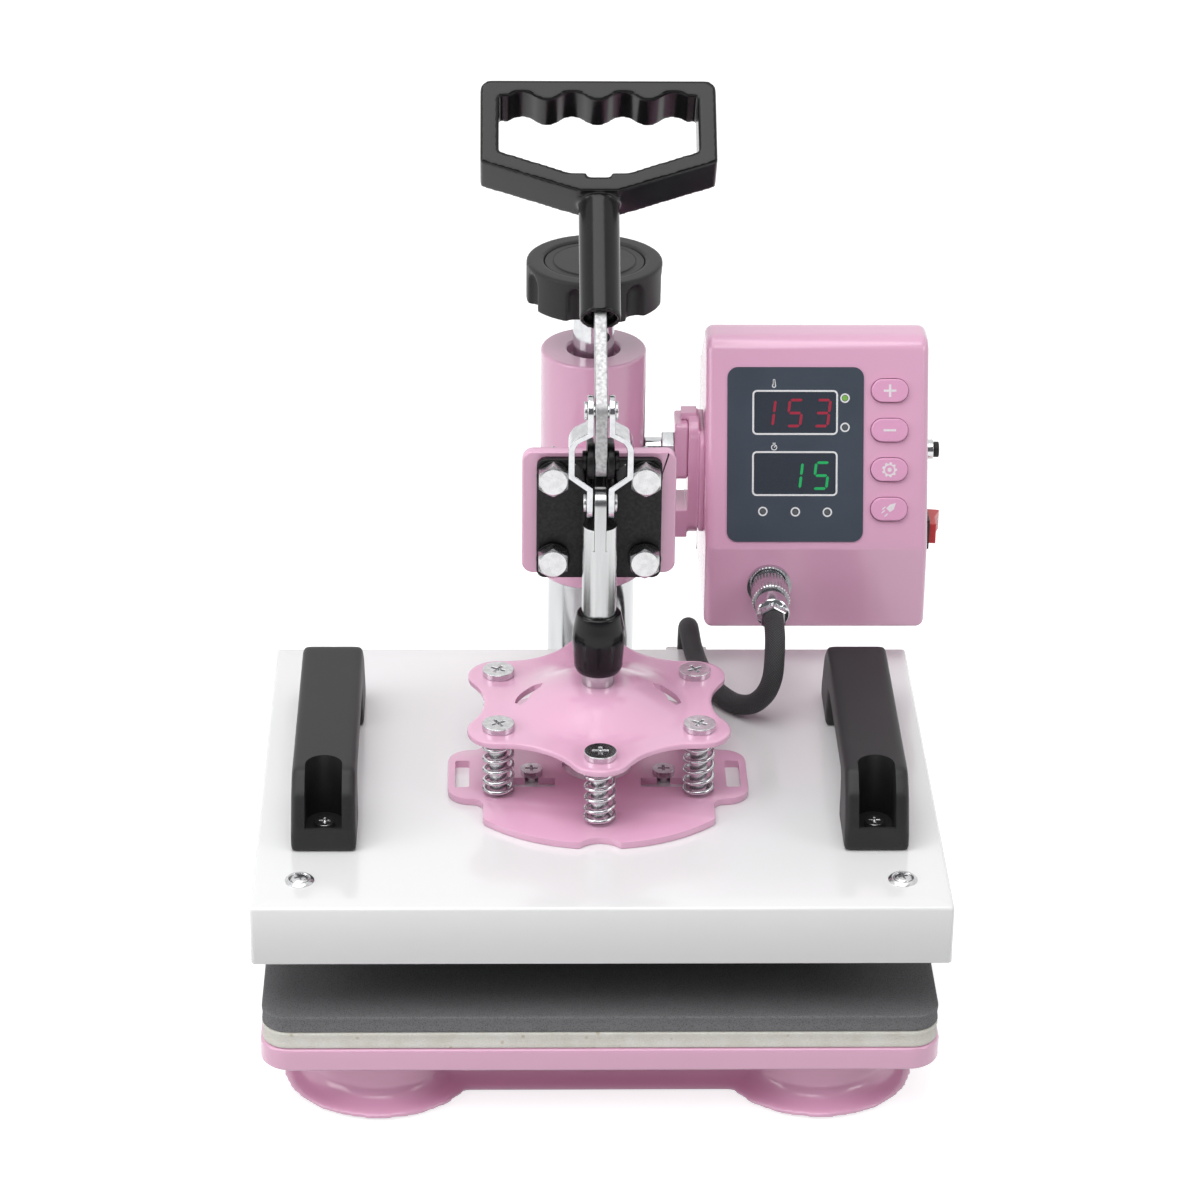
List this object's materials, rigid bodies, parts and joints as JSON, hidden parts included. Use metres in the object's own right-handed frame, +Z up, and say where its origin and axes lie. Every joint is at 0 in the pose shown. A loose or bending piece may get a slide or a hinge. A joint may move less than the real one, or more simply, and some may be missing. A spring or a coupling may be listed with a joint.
{
  "type": "swing-away heat press",
  "caption": "Swing-away heat press: padded lower platen, post with height knob, toggle lever with D grip, sprung heating platen and tilted control box.",
  "frame": {"origin": "on the post's axis at the table surface", "axes": "+X to the viewer's right, +Y to the back, +Z up"},
  "size_m": [0.3188, 0.324, 0.4014],
  "materials": {
    "pink_enamel": "glossy stoved enamel",
    "white_enamel": "glossy white enamel",
    "pink_plastic": "smooth moulded buttons",
    "rubber": "plain moulded rubber",
    "felt": "pressed felt",
    "silicone_sponge": "closed-cell silicone sponge",
    "mineral_wool": "insulating wool",
    "chrome": "polished chrome plate",
    "zinc": "bright zinc plate",
    "steel": "turned steel",
    "dark_steel": "black oxide",
    "brass": "turned brass",
    "grey_plastic": "satin dark grey moulding",
    "black_plastic": "glossy black moulding",
    "red_plastic": "glossy red moulding",
    "panel_film": "printed slate film",
    "circuit_board": "glass-fibre board",
    "coated_aluminium": "black non-stick coat",
    "cord_braid": "black braided sleeve"
  },
  "bodies": {
    "base": {"base_casting": "pink_enamel", "rubber_feet": "rubber", "lower_platen": "pink_enamel", "base_bolts": "zinc", "felt_pad": "felt", "silicone_pad": "silicone_sponge", "post": "chrome", "post_nut": "brass"},
    "lift": {"thrust_bearing": "steel"},
    "knob": {"lead_screw": "steel", "knob_collar": "chrome", "set_screw": "dark_steel", "pressure_knob": "grey_plastic", "knob_cap": "grey_plastic"},
    "carriage": {"swing_sleeve": "pink_enamel", "sleeve_bushes": "brass", "arm": "pink_enamel", "mount_plate": "pink_enamel", "toggle_base": "dark_steel", "toggle_bolts": "zinc", "toggle_washers": "dark_steel", "pivot_pin": "dark_steel", "guide_barrel": "black_plastic", "bracket_bolt": "chrome", "bracket_block": "pink_enamel", "box_hanger": "pink_enamel", "box_shell": "pink_enamel", "box_rear_cover": "pink_enamel", "box_screws": "zinc", "panel_overlay": "panel_film", "control_board": "circuit_board", "power_inlet": "black_plastic", "rocker_bezel": "black_plastic", "fuse_holder": "chrome", "panel_socket": "chrome", "plug_ring": "zinc", "plug_body": "chrome", "heater_cord": "cord_braid"},
    "rocker": {"rocker": "red_plastic"},
    "fuse_cap": {"fuse_cap": "black_plastic"},
    "button_plus": {"button_plus": "pink_plastic"},
    "button_minus": {"button_minus": "pink_plastic"},
    "button_set": {"button_set": "pink_plastic"},
    "button_start": {"button_start": "pink_plastic"},
    "lever": {"lever_bar": "zinc", "grip": "black_plastic"},
    "links": {"toggle_links": "chrome", "link_rivets": "zinc"},
    "plunger": {"plunger": "chrome", "plunger_nuts": "chrome", "star_plate": "pink_enamel"},
    "platen": {"spring_bolts": "chrome", "float_springs": "chrome", "platen_bracket": "pink_enamel", "platen_cover": "white_enamel", "heat_plate": "coated_aluminium", "insulation": "mineral_wool", "platen_screws": "zinc", "side_handles": "grey_plastic", "cord_gland": "white_enamel"}
  },
  "joints": [
    {"name": "height_adjust", "type": "slide", "parent": "base", "child": "lift", "axis": [0, 0, 1], "range_m": [0, 0.02]},
    {"name": "knob_turn", "type": "hinge", "parent": "lift", "child": "knob", "pos_m": [0, 0, 0.29], "axis": [0, 0, 1], "range_deg": [0, 2880]},
    {"name": "head_swing", "type": "hinge", "parent": "lift", "child": "carriage", "pos_m": [0, 0, 0.2], "axis": [0, 0, 1], "range_deg": [-180, 180]},
    {"name": "lever_swing", "type": "hinge", "parent": "carriage", "child": "lever", "pos_m": [0, -0.15, 0.268], "axis": [1, 0, 0], "range_deg": [0, 113]},
    {"name": "link_swing", "type": "hinge", "parent": "lever", "child": "links", "pos_m": [0, -0.15, 0.292], "axis": [1, 0, 0], "range_deg": [-84, 0]},
    {"name": "plunger_slide", "type": "slide", "parent": "carriage", "child": "plunger", "axis": [0, 0, -1], "range_m": [0, 0.0276], "deforming": ["heater_cord"]},
    {"name": "platen_float", "type": "slide", "parent": "plunger", "child": "platen", "axis": [0, 0, 1], "range_m": [0, 0.005], "stiffness_N_per_m": 60000, "springref_m": -0.001, "deforming": ["float_springs", "heater_cord"]},
    {"name": "rocker_tilt", "type": "hinge", "parent": "carriage", "child": "rocker", "pos_m": [0.1595, -0.02, 0.174], "axis": [0, 0, -1], "range_deg": [-20, 0]},
    {"name": "fuse_cap_turn", "type": "hinge", "parent": "carriage", "child": "fuse_cap", "pos_m": [0.158, -0.002, 0.206], "axis": [1, 0, 0], "range_deg": [0, 90]},
    {"name": "button_plus_press", "type": "slide", "parent": "carriage", "child": "button_plus", "axis": [0, 0.9272, -0.3746], "range_m": [0, 0.001], "stiffness_N_per_m": 600, "springref_m": -0.0005},
    {"name": "button_minus_press", "type": "slide", "parent": "carriage", "child": "button_minus", "axis": [0, 0.9272, -0.3746], "range_m": [0, 0.001], "stiffness_N_per_m": 600, "springref_m": -0.0005},
    {"name": "button_set_press", "type": "slide", "parent": "carriage", "child": "button_set", "axis": [0, 0.9272, -0.3746], "range_m": [0, 0.001], "stiffness_N_per_m": 600, "springref_m": -0.0005},
    {"name": "button_start_press", "type": "slide", "parent": "carriage", "child": "button_start", "axis": [0, 0.9272, -0.3746], "range_m": [0, 0.001], "stiffness_N_per_m": 600, "springref_m": -0.0005}
  ],
  "couplings": [
    {"joint": "knob_turn", "follows": "height_adjust", "rad_per_m": 2513.3},
    {"joint": "plunger_slide", "follows": "lever_swing", "m_per_rad": 0.013939},
    {"joint": "link_swing", "follows": "lever_swing", "ratio": -0.73593}
  ]
}
